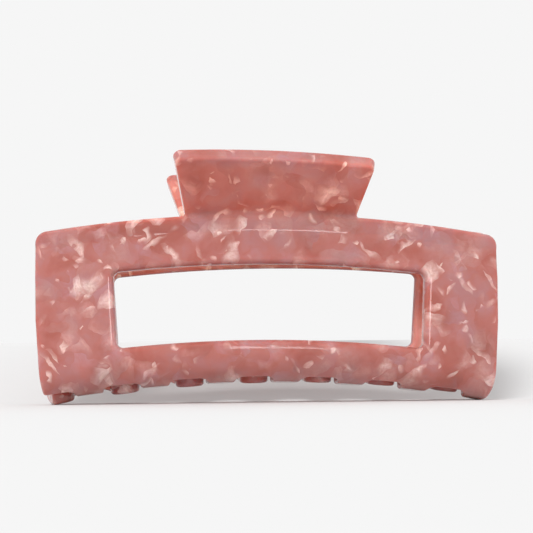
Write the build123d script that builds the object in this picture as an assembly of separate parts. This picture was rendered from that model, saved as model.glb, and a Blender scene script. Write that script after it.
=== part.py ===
from build123d import *
import os
from math import acos, atan2, cos, degrees, hypot, sin

# Claw clip: two jaws cut from flat acetate sheet and bent to shape, held together by a steel spring hinge.
# Millimetres. +X runs along the clip, -Y is the front jaw's side, +Z is up, and Z = 0 is the surface under it.
# A jaw is drawn as a profile at mid-length, in Y and Z, and swept round an inclined axis. That one sweep gives
# both curves of the real sheet: the bow seen from above and the arch seen from the front.

# Jaw sheet
sheet = 3.5
half_length = 55.2
bow_depth = 5.72
arch_drop = 4.9
edge_round = 0.7
window_edge_round = 1.4
smooth_deg = 20.0

# Outer face of the front jaw at mid-length: (Y, Z) of each corner and the radius that rounds it
handle_end = (-22.0, 55.7)
crease = (-9.6, 44.4)
crease_radius = 2.2
neck_bend = (-9.4, 40.7)
neck_bend_radius = 3.5
bulge = (-10.7, 34.1)
bulge_radius = 9.0
heel_y = -13.84
heel_radius = 7.0
tooth_base_z = 5.5
tooth_dip = 0.9
tooth_reach_y = 8.0

# Outline of a jaw seen from the front
top_edge_z = 44.4
top_corner_radius = 3.0
taper_start_z = 19.3
taper_deg = 5.47
side_flare_deg = 2.3
window_half_length = 36.6
window_top_z = 32.8
window_bottom_z = 15.1
window_corner_radius = 1.5
window_taper_deg = 4.0
handle_neck_half_width = 20.25
handle_top_half_width = 23.3
handle_corner_radius = 1.8
handle_skew_deg = 3.4
handle_spare = 2.0
jaw_roll_deg = 0.5

# Comb teeth
teeth_per_jaw = 7
tooth_pitch = 15.3
tooth_offset = 3.8
tooth_width = 6.7
corner_tooth_extra = 2.4
tooth_tip_y = 2.0
corner_tip_y = 2.0
tooth_root_radius = 1.8
rail_edge_y = -9.2
comb_top_z = 10.9

# Hinge
pin_y = 0.0
pin_z = 41.6
pin_radius = 1.1
running_clearance = 0.05
pin_head_radius = 1.9
pin_head_thickness = 0.8
peened_radius = 1.7
washer_radius = 2.3
washer_thickness = 0.4
plate_thickness = 0.8
plate_half_length = 9.0
plate_height = 7.0
plate_rise = 0.6
plate_corner_radius = 1.0
seat_margin = 0.05
plate_sink = 0.5
ear_radius = 2.4
front_ear_x = 7.6
rear_ear_x = 6.5
ear_root_half = 2.6
rivet_radius = 1.0
rivet_head_radius = 1.7
rivet_head_thickness = 0.6
rivet_depth = 1.9
rivet_x = 3.6
rivet_drop = 0.9

# Torsion spring
wire_radius = 0.65
coil_radius = 2.2
coil_half_length = 3.5
leg_foot_length = 3.0
leg_along_handle = 9.0
leg_gap = 0.05

# Sizes that follow from the ones above
bow_curvature = 2 * bow_depth / half_length ** 2
arch_curvature = 2 * arch_drop / half_length ** 2
sweep_radius = 1 / hypot(bow_curvature, arch_curvature)
sweep_tilt = atan2(arch_curvature, bow_curvature)
sweep_axis = Axis(
    (0, heel_y + sweep_radius * cos(sweep_tilt), tooth_base_z - sweep_radius * sin(sweep_tilt)),
    (0, sin(sweep_tilt), cos(sweep_tilt)),
)
handle_lean = atan2(crease[0] - handle_end[0], handle_end[1] - crease[1])
band_tilt = atan2(neck_bend[0] - bulge[0], neck_bend[1] - bulge[1])
reach = 200.0
jaw_sweep = 22.0
cutter_sweep = 25.0
nearly_along = 0.9
partly_along = 0.5
barely_along = 0.35


def offset_corner(corner, before, after, distance):
    """The corner of the parallel path that runs at the given distance on the inner side."""
    into = (Vector(*corner) - Vector(*before)).normalized()
    out = (Vector(*after) - Vector(*corner)).normalized()
    side_in = Vector(-into.Y, into.X)
    side_out = Vector(-out.Y, out.X)
    bisector = (side_in + side_out).normalized()
    moved = Vector(*corner) + bisector * (distance / bisector.dot(side_in))
    return (moved.X, moved.Y)


def offset_end(end, neighbour, distance, leaving):
    """The end point of the parallel path."""
    along = (Vector(*neighbour) - Vector(*end)).normalized()
    if not leaving:
        along = along * -1
    moved = Vector(*end) + Vector(-along.Y, along.X) * distance
    return (moved.X, moved.Y)


def profile_corners():
    """The corners of the outer face's section, from the end of the handle to the end of a tooth."""
    heel = (heel_y, tooth_base_z)
    tip = (tooth_reach_y, tooth_base_z - tooth_dip)
    return [handle_end, crease, neck_bend, bulge, heel, tip]


def sheet_profile():
    """Section of the bent sheet, from the end of the handle to the end of a tooth."""
    outer = profile_corners()
    outer[0] = (handle_end[0] - handle_spare * sin(handle_lean), handle_end[1] + handle_spare * cos(handle_lean))
    inner = [offset_end(outer[0], outer[1], sheet, True)]
    for before, corner, after in zip(outer, outer[1:], outer[2:]):
        inner.append(offset_corner(corner, before, after, sheet))
    inner.append(offset_end(outer[-1], outer[-2], sheet, False))
    outer_radii = [crease_radius, neck_bend_radius, bulge_radius, heel_radius]
    inner_radii = [crease_radius + sheet, neck_bend_radius + sheet, bulge_radius - sheet, heel_radius - sheet]
    outer_path = FilletPolyline(*outer, radius=outer_radii)
    inner_path = FilletPolyline(*inner, radius=inner_radii)
    ends = [Line(outer[0], inner[0]), Line(outer[-1], inner[-1])]
    return Plane.YZ * make_face(outer_path.edges() + inner_path.edges() + ends)


def swept(face, half_angle):
    """A section in the YZ plane swept the same angle to both sides of mid-length."""
    start = face.rotate(sweep_axis, -half_angle)
    return Solid.revolve(start.faces()[0], 2 * half_angle, sweep_axis)


def yz_face(points):
    """A flat face in the YZ plane with straight sides."""
    return Plane.YZ * make_face(Polyline(*points, close=True))


def bow_at(x):
    """How far the bow has carried the jaw's face back at a distance x from mid-length."""
    return bow_curvature * x ** 2 / 2


def beyond_side(x, face_y, taper, height):
    """Everything past a plane across the sheet at +x, square to the bowed face, or the same at -x."""
    yaw = degrees(atan2(bow_curvature * x, 1))
    side = 1 if x > 0 else -1
    block = Box(reach, reach, reach, align=(Align.MIN, Align.CENTER, Align.CENTER))
    if side < 0:
        block = Box(reach, reach, reach, align=(Align.MAX, Align.CENTER, Align.CENTER))
    place = Location((x, face_y + bow_at(x), height), (0, side * taper, yaw))
    return place * block


def window_cutter():
    """The window's volume: walls square to the sheet, top and bottom arched with the jaw."""
    slope = (heel_y - bulge[0]) / (tooth_base_z - bulge[1])
    normal = Vector(-1, slope).normalized()
    through = 3 * sheet
    corners = []
    for z, way in ((window_top_z, 1), (window_top_z, -1), (window_bottom_z, -1), (window_bottom_z, 1)):
        face_y = bulge[0] + slope * (z - bulge[1])
        corners.append((face_y + way * through * normal.X, z + way * through * normal.Y))
    block = swept(yz_face(corners), cutter_sweep)
    middle_z = (window_top_z + window_bottom_z) / 2
    face_y = bulge[0] + slope * (middle_z - bulge[1])
    for x in (window_half_length, -window_half_length):
        block -= beyond_side(x, face_y, window_taper_deg, middle_z)
    walls = [edge for edge in block.edges() if abs((edge % 0.5).Y) > nearly_along]
    return fillet(walls, window_corner_radius)


def handle_outline():
    """The flared handle as seen from the front, drawn from below the top edge of the jaw to above its own end."""
    flare = (handle_top_half_width - handle_neck_half_width) / (handle_end[1] - top_edge_z)
    low = top_edge_z - 2 * sheet
    high = handle_end[1] + 3 * sheet
    half_low = handle_neck_half_width + flare * (low - top_edge_z)
    half_high = handle_neck_half_width + flare * (high - top_edge_z)
    outline = Polyline((-half_low, low), (half_low, low), (half_high, high), (-half_high, high), close=True)
    return Plane.XZ * make_face(outline)


def beside_handle():
    """What is cut away above the jaw's top edge, on both sides of the handle."""
    above = yz_face([(-reach, top_edge_z), (reach, top_edge_z), (reach, reach), (-reach, reach)])
    return swept(above, cutter_sweep) - extrude(handle_outline(), reach, both=True)


def beyond_handle_end():
    """What is cut off the end of the handle, a little more on one side than on the other."""
    along = Vector(-sin(handle_lean), cos(handle_lean))
    across = Vector(cos(handle_lean), sin(handle_lean))
    end = Vector(*handle_end)
    corners = [end - across * sheet, end + across * 2 * sheet]
    corners += [corners[1] + along * 3 * handle_spare, corners[0] + along * 3 * handle_spare]
    block = swept(yz_face([(point.X, point.Y) for point in corners]), cutter_sweep)
    return block.rotate(Axis((0, *handle_end), (0, 1, 0)), handle_skew_deg)


def tooth_outline(x, width, tip_y):
    """A tooth as seen from below: straight flanks and a round tip."""
    length = tip_y + reach
    return Pos(x, tip_y - length) * SlotOverall(2 * length, width, rotation=90)


def comb_cutter():
    """The round-cornered gaps between the teeth, and everything past their tips. The last tooth is the wide one."""
    bow_radius = 1 / bow_curvature
    rail_edge = Pos(0, rail_edge_y + bow_radius) * Circle(bow_radius)
    gaps = rail_edge & Pos(0, rail_edge_y) * Rectangle(reach, reach)
    last = (teeth_per_jaw - 1) / 2
    for place in range(teeth_per_jaw - 1):
        gaps -= tooth_outline(tooth_offset + (place - last) * tooth_pitch, tooth_width, tooth_tip_y)
    corner_x = tooth_offset + last * tooth_pitch + corner_tooth_extra / 2
    gaps -= tooth_outline(corner_x, tooth_width + corner_tooth_extra, corner_tip_y)
    front_y = rail_edge_y - sheet
    far_y = tooth_reach_y + 2 * sheet
    under = [(front_y, -reach), (far_y, -reach), (far_y, comb_top_z), (front_y, comb_top_z)]
    cutter = extrude(gaps, reach, both=True)
    roots = []
    for edge in cutter.edges().filter_by(Axis.Z):
        place = edge.center()
        if abs(place.X) < half_length and abs(place.Y - rail_edge_y - bow_at(place.X)) < edge_round:
            roots.append(edge)
    return fillet(roots, tooth_root_radius) & swept(yz_face(under), cutter_sweep)


def jaw_blank():
    """The bent and cut sheet before its edges are polished round."""
    jaw = swept(sheet_profile(), jaw_sweep)
    for cutter in (window_cutter(), beside_handle(), beyond_handle_end(), comb_cutter()):
        jaw -= cutter
    for x in (half_length, -half_length):
        jaw -= beyond_side(x, heel_y, side_flare_deg, taper_start_z)
        jaw -= beyond_side(x, heel_y, taper_deg, taper_start_z)
    return jaw


def sharp_edges(solid):
    """The edges whose two faces meet at a real corner."""
    faces_at = {}
    for face in solid.faces():
        for edge in face.edges():
            faces_at.setdefault(edge, []).append(face)
    found = []
    for edge, faces in faces_at.items():
        normals = [face.normal_at(edge @ 0.5) for face in faces]
        if len(normals) == 2 and normals[0].get_angle(normals[1]) > smooth_deg:
            found.append(edge)
    return found


def through_sheet(edge):
    """Whether an edge runs straight through the thickness of the sheet, towards the front or the back."""
    along = edge % 0.5
    return edge.length < sheet + edge_round and abs(along.X) < barely_along and abs(along.Y) > partly_along


def on_window(edge):
    """Whether an edge belongs to the rim of the window, on either face of the sheet."""
    place = edge.center()
    beside = abs(place.X) < window_half_length + sheet
    return beside and window_bottom_z - arch_drop < place.Z < window_top_z + sheet / 2


def polished_jaw():
    """The jaw with its free corners cut round and every edge polished."""
    jaw = jaw_blank()
    corners = [edge for edge in sharp_edges(jaw) if through_sheet(edge)]
    handle_level = (handle_end[1] + top_edge_z) / 2
    handle_middle = (handle_neck_half_width + handle_top_half_width) / 2
    grips = [edge for edge in corners if edge.center().Z > handle_level and abs(edge.center().X) > handle_middle]
    jaw = fillet(grips, handle_corner_radius)
    corners = [edge for edge in sharp_edges(jaw) if through_sheet(edge)]
    middle_z = (window_top_z + window_bottom_z) / 2
    side_x = half_length - top_corner_radius
    ends = [edge for edge in corners if abs(edge.center().X) > side_x and edge.center().Z > middle_z]
    jaw = fillet(ends, top_corner_radius)
    jaw = fillet([edge for edge in sharp_edges(jaw) if on_window(edge)], window_edge_round)
    jaw = fillet(sharp_edges(jaw), edge_round)
    return jaw.rotate(Axis((0, pin_y, pin_z), (0, 1, 0)), jaw_roll_deg)


def on_band(along_x, inward, up):
    """A place on the front jaw's inner face behind the band: X, depth out of the face and height along it."""
    middle_y = (neck_bend[0] + bulge[0]) / 2 + sheet * cos(band_tilt)
    middle_z = (neck_bend[1] + bulge[1]) / 2 - sheet * sin(band_tilt)
    face = Location((0, middle_y, middle_z), (-degrees(band_tilt), 0, 0))
    return face * Pos(along_x, inward, up)


def on_pin(x):
    """A place on the pin's axis with its own Z along the pin."""
    return Location((x, pin_y, pin_z), (0, 90, 0))


def plate_blank(margin, thickness):
    """A slab with the hinge plate's outline, lying on the band with its back at the bottom of the seat."""
    outline = RectangleRounded(2 * (plate_half_length + margin), plate_height + 2 * margin, plate_corner_radius)
    back = on_band(0, -plate_sink, plate_rise) * Rot(X=-90)
    return back * extrude(outline, thickness)


def rivet_places():
    """The two rivets' places on the front jaw, at the bottom of the plate's seat."""
    for x in (-rivet_x, rivet_x):
        yield on_band(x, -plate_sink, plate_rise - rivet_drop) * Rot(X=-90)


def front_jaw():
    """The jaw with the seat for its hinge plate and two blind holes for the rivets."""
    jaw = polished_jaw() - plate_blank(seat_margin, 2 * sheet)
    for place in rivet_places():
        jaw -= place * Cylinder(rivet_radius, 2 * rivet_depth)
    return jaw


def ear(x, hole_radius):
    """One upright ear, from the plate to a round end with the pin's hole in it."""
    root = [on_band(0, -plate_sink, plate_rise + side * ear_root_half).position for side in (-1, 1)]
    edges = [Line((root[0].Y, root[0].Z), (root[1].Y, root[1].Z))]
    edges += [Pos(pin_y, pin_z) * edge for edge in Circle(ear_radius).edges()]
    outline = Plane.YZ * make_hull(ShapeList(edges))
    blade = Pos(x - plate_thickness / 2, 0, 0) * extrude(outline, plate_thickness, dir=(1, 0, 0))
    return blade - on_pin(x) * Cylinder(hole_radius, 2 * plate_thickness)


def hinge_plate(ear_x, hole_radius):
    """A stamped plate with two ears bent up from its ends."""
    plate = plate_blank(0, plate_thickness)
    for x in (-ear_x, ear_x):
        plate += ear(x, hole_radius)
    for place in rivet_places():
        plate -= place * Cylinder(rivet_radius + running_clearance, 4 * plate_thickness)
    return plate


def plate_rivets():
    """The two rivets of one plate, each a shank in the jaw and a low round head on the plate."""
    rivets = []
    on_base = (Align.CENTER, Align.CENTER, Align.MIN)
    for place in rivet_places():
        length = rivet_depth + plate_thickness
        shank = Pos(0, 0, -rivet_depth) * Cylinder(rivet_radius, length, align=on_base)
        head = Cylinder(rivet_head_radius, rivet_head_thickness, align=on_base)
        head = fillet(head.edges().group_by(Axis.Z)[-1], rivet_head_thickness / 2)
        rivets.append(place * (shank + Pos(0, 0, plate_thickness) * head))
    return Compound(rivets)


def hinge_pin():
    """The pin, with a made head at one end and a peened one at the other."""
    shoulder = front_ear_x + plate_thickness / 2
    half = shoulder + washer_thickness
    pin = on_pin(0) * Cylinder(pin_radius, 2 * half)
    head = Cylinder(pin_head_radius, pin_head_thickness)
    head = fillet(head.edges().group_by(Axis.Z)[0], pin_head_thickness / 2)
    peened = Cylinder(peened_radius, pin_head_thickness)
    peened = fillet(peened.edges().group_by(Axis.Z)[-1], pin_head_thickness / 2)
    pin += on_pin(-shoulder - pin_head_thickness / 2) * head
    pin += on_pin(half + pin_head_thickness / 2) * peened
    return pin


def pin_washer():
    """The thin washer between the front plate's ear and the peened end."""
    x = front_ear_x + (plate_thickness + washer_thickness) / 2
    return on_pin(x) * (Cylinder(washer_radius, washer_thickness) - Cylinder(pin_radius, washer_thickness))


def front_leg():
    """The spring's leg on the front handle: a straight run off the top of the coil and a foot along the handle."""
    off_face = sheet + wire_radius + leg_gap
    foot_y = crease[0] - leg_along_handle * sin(handle_lean) + off_face * cos(handle_lean)
    foot_z = crease[1] + leg_along_handle * cos(handle_lean) + off_face * sin(handle_lean)
    toward = atan2(foot_z - pin_z, foot_y - pin_y)
    distance = hypot(foot_y - pin_y, foot_z - pin_z)
    tangent = toward - acos(coil_radius / distance)
    start = Vector(-coil_half_length, pin_y + coil_radius * cos(tangent), pin_z + coil_radius * sin(tangent))
    elbow = Vector(-coil_half_length, foot_y, foot_z)
    run = Solid.make_cylinder(wire_radius, (elbow - start).length, Plane(origin=start, z_dir=elbow - start))
    foot = Solid.make_cylinder(wire_radius, leg_foot_length, Plane(origin=elbow, z_dir=(-1, 0, 0)))
    return run + foot + Pos(*elbow) * Sphere(wire_radius)


def torsion_spring():
    """The wire coil round the pin, as one closed sleeve, and its two legs."""
    half = coil_half_length + wire_radius
    coil = on_pin(0) * (
        Cylinder(coil_radius + wire_radius, 2 * half) - Cylinder(coil_radius - wire_radius, 2 * half)
    )
    leg = front_leg()
    return coil + leg + turned(leg)


def turned(shape):
    """The same shape for the rear half of the clip."""
    return shape.rotate(Axis.Z, 180)


def main():
    os.makedirs("parts", exist_ok=True)
    jaw = front_jaw()
    nodes = {
        "front_jaw": jaw,
        "rear_jaw": turned(jaw),
        "front_hinge_plate": hinge_plate(front_ear_x, pin_radius),
        "rear_hinge_plate": turned(hinge_plate(rear_ear_x, pin_radius + running_clearance)),
        "front_plate_rivets": plate_rivets(),
        "rear_plate_rivets": turned(plate_rivets()),
        "hinge_pin": hinge_pin(),
        "pin_washer": pin_washer(),
        "torsion_spring": torsion_spring(),
    }
    lift = -jaw.bounding_box().min.Z
    for name, shape in nodes.items():
        export_step(Pos(0, 0, lift) * shape, f"parts/{name}.step")
    print(f"pin axis at Y {pin_y:.3f}, Z {pin_z + lift:.3f}")


main()
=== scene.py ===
"""Claw clip: marbled pearl acetate jaws on a nickel-plated spring hinge, on a pale floor."""

from math import acos, atan2, cos, hypot, pi, radians, sin

import bpy
from mathutils import Matrix, Vector

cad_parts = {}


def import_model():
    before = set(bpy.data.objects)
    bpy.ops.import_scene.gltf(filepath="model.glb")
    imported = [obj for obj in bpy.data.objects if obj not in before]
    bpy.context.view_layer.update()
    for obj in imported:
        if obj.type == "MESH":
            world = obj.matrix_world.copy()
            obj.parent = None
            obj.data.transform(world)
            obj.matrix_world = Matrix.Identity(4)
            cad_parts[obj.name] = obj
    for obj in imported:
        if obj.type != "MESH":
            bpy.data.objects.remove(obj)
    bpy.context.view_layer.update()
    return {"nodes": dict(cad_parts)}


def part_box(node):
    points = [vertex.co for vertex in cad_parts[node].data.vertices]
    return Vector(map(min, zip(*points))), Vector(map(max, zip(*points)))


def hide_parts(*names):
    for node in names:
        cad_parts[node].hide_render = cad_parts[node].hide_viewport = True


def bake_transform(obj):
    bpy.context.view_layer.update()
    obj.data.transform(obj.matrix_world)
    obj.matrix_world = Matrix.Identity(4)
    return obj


MM = 0.001

# Camera
CAMERA_AZIMUTH = radians(-5.835)
CAMERA_ASIDE = -0.0003
CAMERA_DISTANCE = 0.4059
CAMERA_HEIGHT = 0.0090
CAMERA_PITCH = radians(3.293)
CAMERA_ROLL = radians(-0.55)
CAMERA_FOCAL_PX = 1700.3
IMAGE_PX = 533.0
SENSOR_MM = 36.0

# Light: the air and the lit paper both read as the same pale grey
PAPER_WHITE = 0.922
SUN_TOWARD = (-0.30, -0.76, 0.58)
SUN_STRENGTH = 2.25
SUN_SPREAD = 20.0
STRIP_PLACE = (0.16, -1.04, 0.30)
STRIP_TARGET = (0, 0, 0.03)
STRIP_WIDTH = 0.34
STRIP_HEIGHT = 0.10
STRIP_POWER = 0.70

# Paper under and behind the clip, in metres
PAPER_HALF_WIDTH = 3.0
CLIMB_START = 0.014
CLIMB_END = 0.066
CLIMB_HEIGHT = 0.0155
CLIMB_STEPS = 48

# Acetate: where the handle begins and where its rim does, in metres above the floor. The two tints below are
# painted glow: a redder handle and paler inner faces stand in for light shining through the thin acetate
NECK_BOTTOM = 41.5 * MM
NECK_TOP = 45.5 * MM
RIM_BOTTOM = 53.0 * MM
RIM_TOP = 56.5 * MM
# Painted glow: the handle zone is made redder to stand in for light shining through it and bounced from the band
HANDLE_PAINTED_GLOW = (1.40, 1.18, 1.04)
# Painted glow: inner faces are paled to stand in for light shining through the acetate into their shade
INNER_FACE_PAINTED_GLOW = (1.80, 2.05, 1.80)
FLAKE_TILT = 0.3
STREAK_SQUEEZE = (1.0, 1.0, 0.3)

# Flake layers: size in mm, seed, share of cells that show, softness, strength, sRGB tone, and the angle in
# degrees of a layer of streaks
FLAKE_LAYERS = (
    (8.0, 1.0, 0.55, 0.50, 0.55, (176, 132, 128), None),
    (6.5, 2.0, 0.45, 0.55, 0.60, (154, 79, 66), None),
    (5.0, 3.0, 0.40, 0.50, 0.60, (172, 124, 130), None),
    (4.6, 4.0, 0.34, 0.70, 0.65, (206, 162, 155), None),
    (4.4, 5.0, 0.15, 0.85, 1.00, (240, 218, 211), None),
    (1.7, 6.0, 0.06, 0.55, 0.85, (240, 214, 206), None),
    (1.7, 7.0, 0.09, 0.60, 0.80, (232, 204, 196), 40.0),
    (1.5, 8.0, 0.07, 0.60, 0.80, (234, 206, 198), -55.0),
)

# Torsion spring, in metres
WIRE_RADIUS = 0.65 * MM
COIL_RADIUS = 2.2 * MM
COIL_HALF_LENGTH = 3.5 * MM
COIL_TURNS = 5
LEG_FOOT_LENGTH = 3.0 * MM
LEG_BEND = 1.6 * WIRE_RADIUS
WIRE_SIDES = 14
STEPS_PER_TURN = 40
FOOT_STEPS = 6
BEND_STEPS = 8
LEG_STEPS = 24

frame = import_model()


# ---------------------------------------------------------------- shader helpers
class Shader:
    """A material's node tree with short calls for the nodes that this script uses."""

    def __init__(self, name):
        self.material = bpy.data.materials.new(name)
        self.material.use_nodes = True
        self.tree = self.material.node_tree
        self.tree.nodes.clear()
        self.output = self.tree.nodes.new("ShaderNodeOutputMaterial")

    def node(self, kind, inputs=(), **settings):
        made = self.tree.nodes.new(kind)
        for key, value in settings.items():
            setattr(made, key, value)
        for key, value in dict(inputs).items():
            self.feed(made.inputs[key], value)
        return made

    def feed(self, socket, value):
        if isinstance(value, bpy.types.NodeSocket):
            self.tree.links.new(value, socket)
        else:
            socket.default_value = value

    def math(self, operation, *values):
        made = self.tree.nodes.new("ShaderNodeMath")
        made.operation = operation
        for socket, value in zip(made.inputs, values):
            self.feed(socket, value)
        return made.outputs[0]

    def vector(self, operation, *values, scale=None):
        made = self.tree.nodes.new("ShaderNodeVectorMath")
        made.operation = operation
        for socket, value in zip(made.inputs, values):
            self.feed(socket, value)
        if scale is not None:
            self.feed(made.inputs["Scale"], scale)
        return made.outputs["Value" if operation == "DOT_PRODUCT" else "Vector"]

    def range(self, value, low, high, to_low=0.0, to_high=1.0, kind="SMOOTHSTEP"):
        made = self.tree.nodes.new("ShaderNodeMapRange")
        made.interpolation_type = kind
        for key, number in zip(("Value", "From Min", "From Max", "To Min", "To Max"),
                               (value, low, high, to_low, to_high)):
            self.feed(made.inputs[key], number)
        return made.outputs["Result"]

    def mix(self, factor, a, b):
        made = self.tree.nodes.new("ShaderNodeMix")
        made.data_type = "RGBA"
        made.clamp_factor = True
        self.feed(made.inputs["Factor"], factor)
        self.feed(made.inputs[6], a)
        self.feed(made.inputs[7], b)
        return made.outputs[2]

    def finish(self, shader):
        self.tree.links.new(shader.outputs[0], self.output.inputs["Surface"])
        return self.material


def colour(r, g, b):
    """An sRGB colour, 0 to 255, as the linear RGBA that sockets take."""
    def linear(v):
        v /= 255
        return v / 12.92 if v <= 0.04045 else ((v + 0.055) / 1.055) ** 2.4
    return (linear(r), linear(g), linear(b), 1.0)


# ---------------------------------------------------------------- materials
def flakes(s, coords, size, seed, share, soft):
    """One layer of flakes. Returns how strongly each shows, its shading from side to side and its tilt."""
    shifted = s.vector("ADD", coords, (seed * 37.1, seed * 11.7, seed * 23.3))
    cells = s.node("ShaderNodeTexVoronoi", {"Vector": shifted, "Scale": 1 / size, "Randomness": 1.0},
                   voronoi_dimensions="3D", feature="F1", distance="EUCLIDEAN")
    random = cells.outputs["Color"]
    parts = s.node("ShaderNodeSeparateColor", {"Color": random})
    lean = s.vector("SUBTRACT", random, (0.5, 0.5, 0.5))
    direction = s.vector("NORMALIZE", lean)
    local = s.vector("SUBTRACT", shifted, cells.outputs["Position"])
    along = s.math("DIVIDE", s.vector("DOT_PRODUCT", local, direction), size)
    shade = s.range(along, -0.30, 0.42)
    body = s.range(cells.outputs["Distance"], 0.85, 0.85 - soft)
    chosen = s.range(parts.outputs[1], 1 - share, 1 - share + 0.05)
    return s.math("MULTIPLY", chosen, body), shade, lean


def acetate():
    """Polished marbled acetate: warm clouds, pearl flakes and streaks, and painted glow: a redder handle and
    paler inner faces stand in for light shining through the thin acetate.
    """
    s = Shader("marbled_pearl_acetate")
    texture = s.node("ShaderNodeTexCoord")
    place = texture.outputs["Object"]
    coords = s.vector("MULTIPLY", place, (1 / MM, 0.6 / MM, 1 / MM))
    wander = s.node("ShaderNodeTexNoise", {"Vector": coords, "Scale": 0.24, "Detail": 1.5, "Roughness": 0.5})
    drift = s.vector("SUBTRACT", wander.outputs["Color"], (0.5, 0.5, 0.5))
    warped = s.vector("ADD", coords, s.vector("SCALE", drift, scale=4.0))

    clouds = s.node("ShaderNodeTexNoise", {"Vector": warped, "Scale": 0.13, "Detail": 3.0, "Roughness": 0.5})
    ramp = s.node("ShaderNodeValToRGB", {"Fac": clouds.outputs["Fac"]})
    ramp.color_ramp.elements[0].position = 0.34
    ramp.color_ramp.elements[0].color = colour(156, 83, 72)
    ramp.color_ramp.elements[1].position = 0.66
    ramp.color_ramp.elements[1].color = colour(161, 106, 105)
    middle = ramp.color_ramp.elements.new(0.5)
    middle.color = colour(165, 98, 90)
    base = ramp.outputs["Color"]
    silk = s.node("ShaderNodeTexNoise", {"Vector": warped, "Scale": 1.1, "Detail": 3.0, "Roughness": 0.6})
    sheen = s.range(silk.outputs["Fac"], 0.3, 0.7, 0.55, 1.1)

    tilt = None
    pearl = None
    for size, seed, share, soft, amount, tone, streak in FLAKE_LAYERS:
        spot = warped
        if streak is not None:
            rotation = (0.0, radians(streak), 0.0)
            turned = s.node("ShaderNodeVectorRotate", {"Vector": warped, "Rotation": rotation},
                            rotation_type="EULER_XYZ")
            spot = s.vector("MULTIPLY", turned.outputs["Vector"], STREAK_SQUEEZE)
        present, shade, lean = flakes(s, spot, size, seed, share, soft)
        strength = s.math("MULTIPLY", s.math("MULTIPLY", present, shade), amount)
        factor = s.math("MULTIPLY", strength, sheen)
        base = s.mix(factor, base, colour(*tone))
        leaning = s.vector("SCALE", lean, scale=s.math("MULTIPLY", present, FLAKE_TILT))
        tilt = leaning if tilt is None else s.vector("ADD", tilt, leaning)
        pearl = factor if pearl is None else s.math("MAXIMUM", pearl, factor)

    at = s.node("ShaderNodeSeparateXYZ", {"Vector": place}).outputs
    above_neck = s.range(at["Z"], NECK_BOTTOM, NECK_TOP)
    below_rim = s.range(at["Z"], RIM_BOTTOM, RIM_TOP, 1.0, 0.0)
    # Painted glow: between neck and rim the colour is warmed to stand in for light shining through the thin
    # handle
    handle_painted_glow = s.vector("MULTIPLY", base, HANDLE_PAINTED_GLOW)
    base = s.mix(s.math("MULTIPLY", above_neck, below_rim), base, handle_painted_glow)

    # Painted glow: inner faces below the neck, found by their own normal, are brightened to stand in for light
    # shining through the acetate onto faces left in shade
    own_normal = s.node("ShaderNodeSeparateXYZ", {"Vector": texture.outputs["Normal"]}).outputs["Y"]
    outward = s.math("MULTIPLY", s.math("SIGN", at["Y"]), own_normal)
    inside = s.math("MULTIPLY", s.range(outward, -0.3, -0.8), s.math("SUBTRACT", 1.0, above_neck))
    base = s.mix(inside, base, s.vector("MULTIPLY", base, INNER_FACE_PAINTED_GLOW))

    normal = s.node("ShaderNodeNewGeometry").outputs["Normal"]
    pearl_normal = s.vector("NORMALIZE", s.vector("ADD", normal, tilt))
    polish = s.node("ShaderNodeBump", {
        "Height": clouds.outputs["Fac"],
        "Strength": 0.3,
        "Distance": 0.05 * MM,
    })
    shader = s.node("ShaderNodeBsdfPrincipled", {
        "Base Color": base,
        "Metallic": s.range(pearl, 0.3, 0.9, 0.0, 0.35, "LINEAR"),
        "Roughness": s.range(pearl, 0.0, 0.8, 0.5, 0.32, "LINEAR"),
        "Normal": pearl_normal,
        "Specular IOR Level": 0.2,
        "Subsurface Weight": 0.6,
        "Subsurface Radius": (1.0, 0.22, 0.15),
        "Subsurface Scale": 6.0 * MM,
        "Coat Weight": 1.0,
        "Coat Roughness": 0.04,
        "Coat IOR": 1.48,
        "Coat Normal": polish.outputs["Normal"],
    })
    return s.finish(shader)


def plated_steel(name, tone, roughness, grain):
    """Nickel-plated steel with fine rolling marks along X and a little unevenness in its gloss."""
    s = Shader(name)
    place = s.node("ShaderNodeTexCoord").outputs["Object"]
    stretched = s.vector("MULTIPLY", place, (0.25 / MM, 4 / MM, 4 / MM))
    marks = s.node("ShaderNodeTexNoise", {"Vector": stretched, "Scale": 1.0, "Detail": 3.0})
    blotches = s.node("ShaderNodeTexNoise", {"Vector": place, "Scale": 260.0, "Detail": 2.0})
    gloss = s.math("ADD", s.range(marks.outputs["Fac"], 0.3, 0.7, 0.0, grain),
                   s.range(blotches.outputs["Fac"], 0.3, 0.7, roughness, roughness + 0.08))
    shade = s.range(blotches.outputs["Fac"], 0.35, 0.7, 0.0, 1.0)
    dull = tuple(v * 0.86 for v in tone[:3]) + (1.0,)
    bump = s.node("ShaderNodeBump", {"Height": marks.outputs["Fac"], "Strength": 0.15, "Distance": 0.02 * MM})
    shader = s.node("ShaderNodeBsdfPrincipled", {
        "Base Color": s.mix(shade, dull, tone),
        "Metallic": 1.0,
        "Roughness": gloss,
        "Normal": bump.outputs["Normal"],
    })
    return s.finish(shader)


def floor_paper():
    """Matt paper toned so that, lit and out of shadow, it reads the same on the level and on the climb."""
    s = Shader("studio_paper")
    normal = s.node("ShaderNodeNewGeometry").outputs["Normal"]
    facing = s.vector("DOT_PRODUCT", normal, Vector(SUN_TOWARD).normalized())
    from_sun = s.math("MULTIPLY", s.math("MAXIMUM", facing, 0.0), SUN_STRENGTH / pi)
    tone = s.math("DIVIDE", PAPER_WHITE, s.math("ADD", from_sun, PAPER_WHITE))
    grey = s.node("ShaderNodeCombineColor", {"Red": tone, "Green": tone, "Blue": tone})
    shader = s.node("ShaderNodeBsdfPrincipled", {
        "Base Color": grey.outputs["Color"],
        "Roughness": 1.0,
        "Specular IOR Level": 0.0,
    })
    return s.finish(shader)


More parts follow.
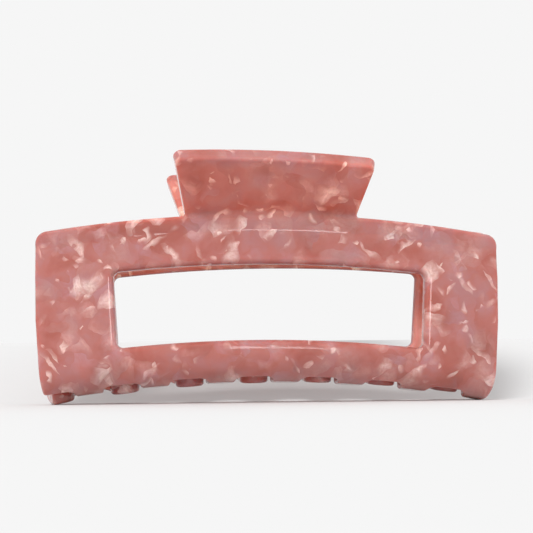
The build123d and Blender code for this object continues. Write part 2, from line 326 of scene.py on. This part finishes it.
def assign(obj, material):
    obj.data.materials.clear()
    obj.data.materials.append(material)


# ---------------------------------------------------------------- torsion spring
def mesh_object(name, vertices, faces):
    mesh = bpy.data.meshes.new(name)
    mesh.from_pydata([tuple(v) for v in vertices], [], faces)
    mesh.update()
    for polygon in mesh.polygons:
        polygon.use_smooth = True
    made = bpy.data.objects.new(name, mesh)
    bpy.context.scene.collection.objects.link(made)
    return made


def wire(name, path, radius, sides):
    """A round wire with domed ends along a list of points."""
    vertices, faces = [], []
    tangents = []
    for i in range(len(path)):
        before = path[max(i - 1, 0)]
        after = path[min(i + 1, len(path) - 1)]
        tangents.append((after - before).normalized())
    side = tangents[0].orthogonal().normalized()
    rings = []
    for point, tangent in zip(path, tangents):
        side = (side - tangent * side.dot(tangent)).normalized()
        rings.append((point, tangent, side, radius))
    dome = [(sin(a), cos(a)) for a in (pi / 8, pi / 4, 3 * pi / 8)]
    first, last = rings[0], rings[-1]
    start = [(first[0] - first[1] * radius * up, first[1], first[2], radius * out)
             for up, out in reversed(dome)]
    end = [(last[0] + last[1] * radius * up, last[1], last[2], radius * out) for up, out in dome]
    rings = start + rings + end
    for point, tangent, side, size in rings:
        other = tangent.cross(side)
        for k in range(sides):
            angle = 2 * pi * k / sides
            vertices.append(point + side * (size * cos(angle)) + other * (size * sin(angle)))
    for i in range(len(rings) - 1):
        for k in range(sides):
            a, b = i * sides + k, i * sides + (k + 1) % sides
            faces.append((a, b, b + sides, a + sides))
    tip = len(vertices)
    vertices.append(first[0] - first[1] * radius)
    vertices.append(last[0] + last[1] * radius)
    final = (len(rings) - 1) * sides
    for k in range(sides):
        faces.append(((k + 1) % sides, k, tip))
        faces.append((final + k, final + (k + 1) % sides, tip + 1))
    return mesh_object(name, vertices, faces)


def spring():
    """The coil with its two legs, each ending in a short foot on the inside of a handle."""
    low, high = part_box("hinge_pin")
    pin = (low + high) / 2
    low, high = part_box("torsion_spring")
    foot_y = high.y - WIRE_RADIUS
    foot_z = high.z - WIRE_RADIUS
    reach_y, reach_z = foot_y - pin.y, foot_z - pin.z
    tangent = atan2(reach_z, reach_y) + acos(COIL_RADIUS / hypot(reach_y, reach_z))
    start_angle, end_angle = pi - tangent, tangent - 2 * pi * COIL_TURNS
    steps = STEPS_PER_TURN * COIL_TURNS
    coil = []
    for i in range(steps + 1):
        t = i / steps
        angle = start_angle + (end_angle - start_angle) * t
        x = -COIL_HALF_LENGTH + 2 * COIL_HALF_LENGTH * t
        coil.append(Vector((x, pin.y + COIL_RADIUS * cos(angle), pin.z + COIL_RADIUS * sin(angle))))
    elbow_front = Vector((-COIL_HALF_LENGTH, -foot_y, foot_z))
    elbow_rear = Vector((COIL_HALF_LENGTH, foot_y, foot_z))
    foot_front = elbow_front - Vector((LEG_FOOT_LENGTH, 0, 0))
    foot_rear = elbow_rear + Vector((LEG_FOOT_LENGTH, 0, 0))

    def leg(foot, elbow, root):
        """Points from the foot's tip round the elbow and down to the coil."""
        bend_in = elbow + (foot - elbow).normalized() * LEG_BEND
        bend_out = elbow + (root - elbow).normalized() * LEG_BEND
        points = [foot.lerp(bend_in, i / FOOT_STEPS) for i in range(FOOT_STEPS + 1)]
        for i in range(1, BEND_STEPS):
            t = i / BEND_STEPS
            points.append(bend_in * (1 - t) ** 2 + elbow * 2 * t * (1 - t) + bend_out * t ** 2)
        points += [bend_out.lerp(root, i / LEG_STEPS) for i in range(LEG_STEPS)]
        return points

    path = leg(foot_front, elbow_front, coil[0]) + coil + leg(foot_rear, elbow_rear, coil[-1])[::-1]
    made = wire("spring_wire", path, WIRE_RADIUS, WIRE_SIDES)
    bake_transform(made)
    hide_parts("torsion_spring")
    return made


# ---------------------------------------------------------------- stage, lights and camera
def backdrop():
    """A sheet of paper that lies flat under the clip and climbs softly to a low ledge behind it."""
    profile = [(-PAPER_HALF_WIDTH, 0.0), (CLIMB_START, 0.0)]
    for i in range(1, CLIMB_STEPS + 1):
        along = i / CLIMB_STEPS
        eased = along * along * (3 - 2 * along)
        profile.append((CLIMB_START + (CLIMB_END - CLIMB_START) * along, CLIMB_HEIGHT * eased))
    profile.append((PAPER_HALF_WIDTH, CLIMB_HEIGHT))
    vertices = [(x, y, z) for y, z in profile for x in (-PAPER_HALF_WIDTH, PAPER_HALF_WIDTH)]
    faces = [(2 * i, 2 * i + 1, 2 * i + 3, 2 * i + 2) for i in range(len(profile) - 1)]
    made = mesh_object("backdrop", vertices, faces)
    assign(made, floor_paper())


def add_light(light, place=(0, 0, 0), towards=(0, 0, -1)):
    """Puts a light in the scene, shining from its place the way that towards points."""
    made = bpy.data.objects.new(light.name, light)
    made.location = place
    made.rotation_euler = Vector(towards).to_track_quat("-Z", "Y").to_euler()
    bpy.context.scene.collection.objects.link(made)
    return made


def sun():
    """Broad even light from the front left, which leaves no glare of its own on the polish."""
    light = bpy.data.lights.new("key", "SUN")
    light.energy = SUN_STRENGTH
    light.angle = radians(SUN_SPREAD)
    add_light(light, towards=-Vector(SUN_TOWARD)).visible_glossy = False


def strip():
    """A long low lamp that only shows as thin lines of gloss along the polished bends."""
    light = bpy.data.lights.new("strip", "AREA")
    light.shape = "RECTANGLE"
    light.size, light.size_y = STRIP_WIDTH, STRIP_HEIGHT
    light.energy = STRIP_POWER
    towards = Vector(STRIP_TARGET) - Vector(STRIP_PLACE)
    add_light(light, STRIP_PLACE, towards).visible_diffuse = False


def world():
    made = bpy.data.worlds.new("studio")
    made.use_nodes = True
    background = made.node_tree.nodes["Background"]
    background.inputs["Color"].default_value = (1.0, 1.0, 1.0, 1.0)
    background.inputs["Strength"].default_value = PAPER_WHITE
    bpy.context.scene.world = made


def camera():
    data = bpy.data.cameras.new("camera")
    data.sensor_width = SENSOR_MM
    data.lens = CAMERA_FOCAL_PX * SENSOR_MM / IMAGE_PX
    data.clip_start = 0.01
    made = bpy.data.objects.new("camera", data)
    across = CAMERA_DISTANCE * sin(CAMERA_AZIMUTH) + CAMERA_ASIDE
    made.location = (across, -CAMERA_DISTANCE * cos(CAMERA_AZIMUTH), CAMERA_HEIGHT)
    turn = Matrix.Rotation(CAMERA_AZIMUTH, 3, "Z") @ Matrix.Rotation(pi / 2 + CAMERA_PITCH, 3, "X")
    made.rotation_euler = (turn @ Matrix.Rotation(CAMERA_ROLL, 3, "Z")).to_euler()
    bpy.context.scene.collection.objects.link(made)
    bpy.context.scene.camera = made


# ---------------------------------------------------------------- build
bpy.context.scene.view_settings.view_transform = "Standard"
camera()
world()
backdrop()
sun()
strip()

ACETATE = acetate()
NICKEL = plated_steel("nickel_plated_plate", colour(206, 204, 200), 0.22, 0.10)
FIXING = plated_steel("nickel_plated_fixings", colour(214, 212, 208), 0.14, 0.05)
WIRE = plated_steel("drawn_spring_wire", colour(190, 190, 192), 0.20, 0.06)
for node in ("front_jaw", "rear_jaw"):
    assign(frame["nodes"][node], ACETATE)
for node in ("front_hinge_plate", "rear_hinge_plate"):
    assign(frame["nodes"][node], NICKEL)
for node in ("front_plate_rivets", "rear_plate_rivets", "hinge_pin", "pin_washer"):
    assign(frame["nodes"][node], FIXING)
assign(spring(), WIRE)
